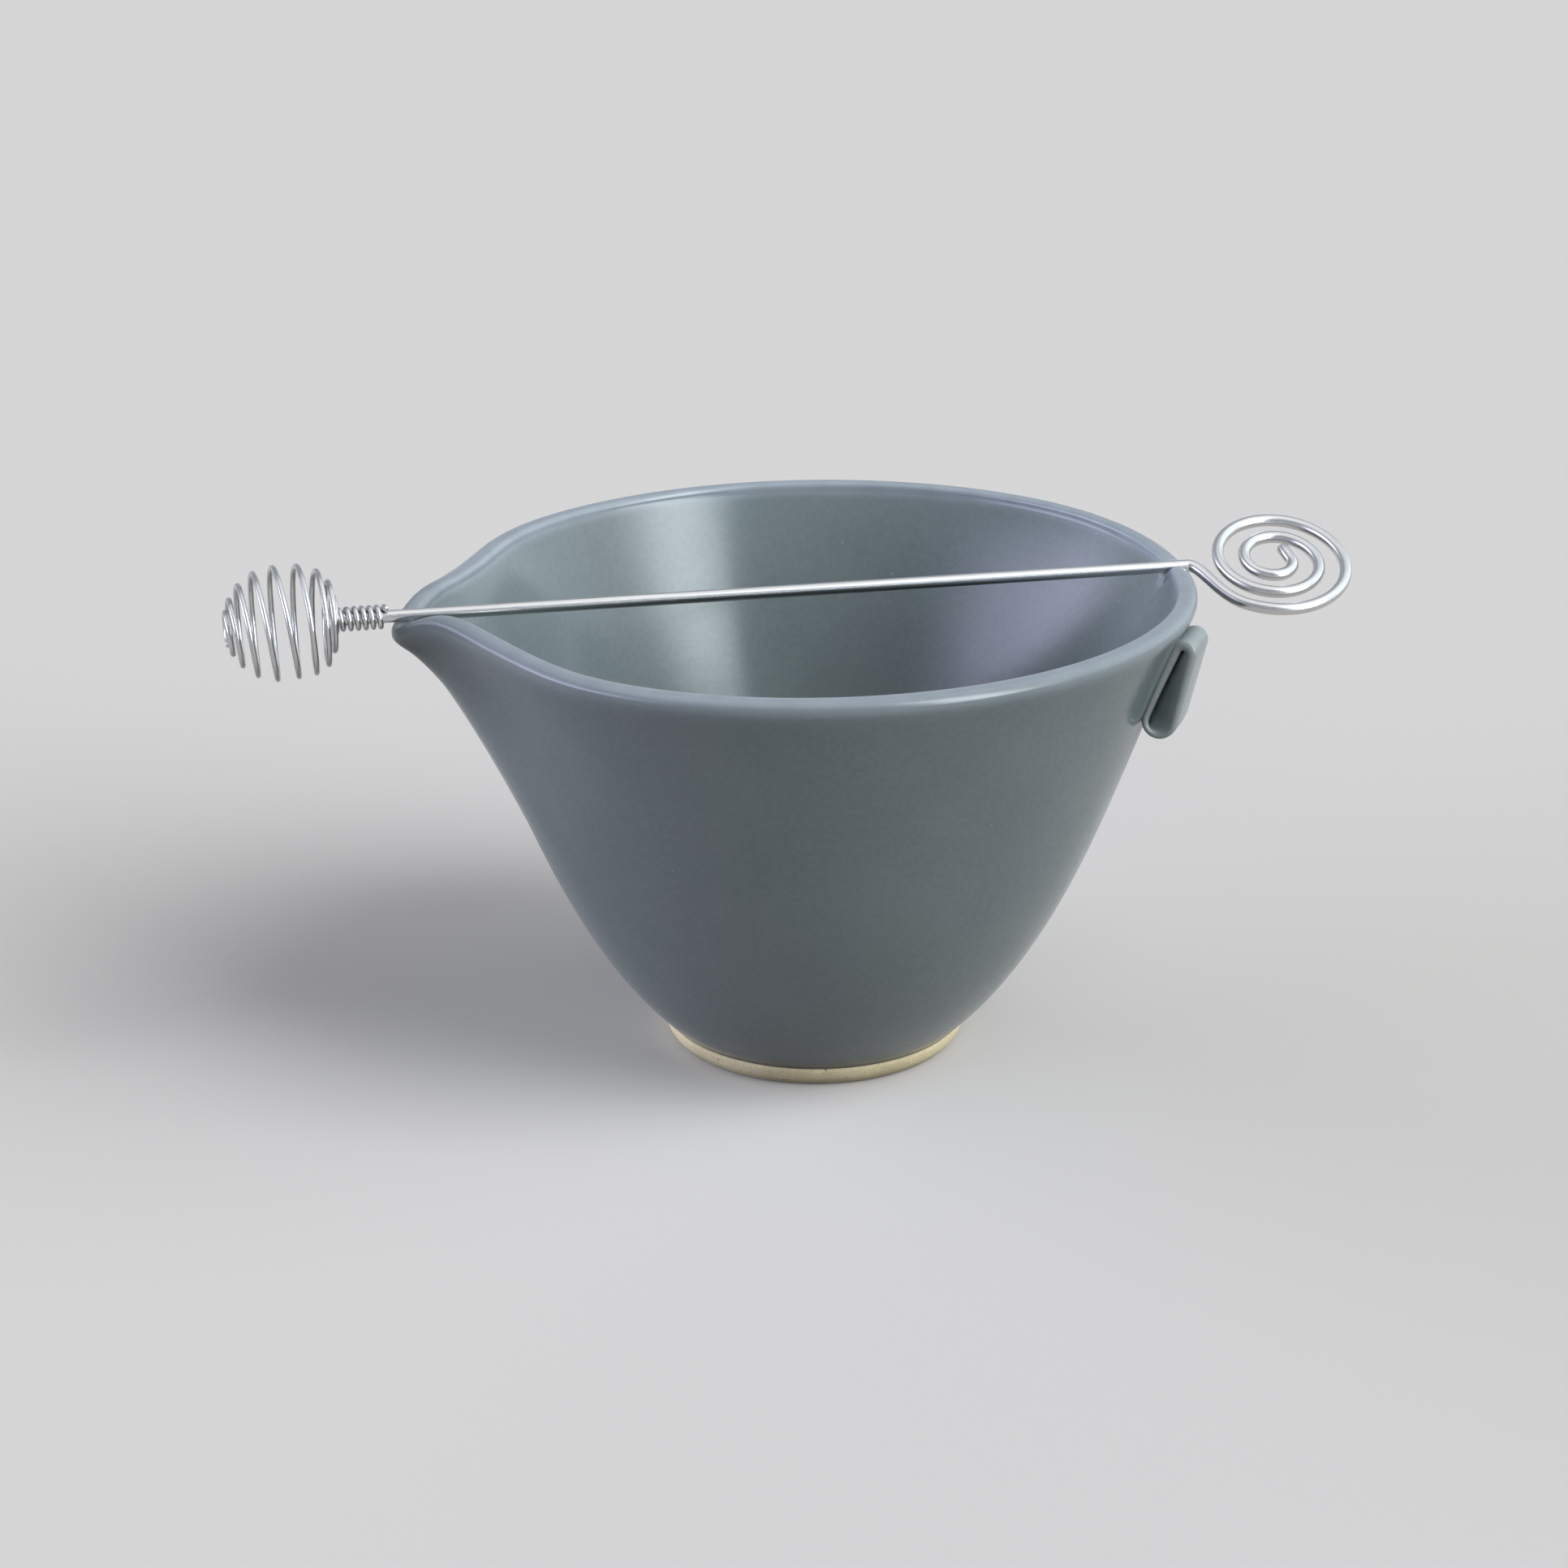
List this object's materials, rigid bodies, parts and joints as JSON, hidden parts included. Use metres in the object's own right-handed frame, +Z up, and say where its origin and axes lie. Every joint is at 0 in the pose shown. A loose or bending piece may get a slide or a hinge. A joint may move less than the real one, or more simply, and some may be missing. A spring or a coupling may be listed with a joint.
{
  "type": "batter bowl with spring whisk",
  "caption": "Oval glazed stoneware mixing bowl with a pulled pouring spout, a rim notch and a strap lug, carrying a loose wire spring whisk laid across its rim.",
  "frame": {"origin": "centre of the foot's flat underside, on the surface that the bowl stands on", "axes": "+Z up, +X along the whisk's rod from the spout to the notch, +Y across the bowl"},
  "size_m": [0.2221, 0.135, 0.1038],
  "materials": {
    "bowl_glaze": "slate blue-green satin-gloss glaze with faint speckle, paler where it breaks on the rim",
    "bare_clay": "bare buff stoneware, matt",
    "lug_glaze": "the bowl's glaze, breaking paler and browner on the strap's edges",
    "handle_steel": "bright drawn wire, polished",
    "coil_steel": "bright spring wire, polished"
  },
  "bodies": {
    "bowl": {"bowl_body": "bowl_glaze", "bare_foot": "bare_clay", "lug_loop": "lug_glaze"},
    "whisk": {"whisk_handle_wire": "handle_steel", "whisk_beater_coil": "coil_steel"}
  },
  "joints": [
    {"name": "whisk_lift", "type": "slide", "parent": "bowl", "child": "whisk", "axis": [0, 0, 1], "range_m": [0, 0.12]}
  ]
}
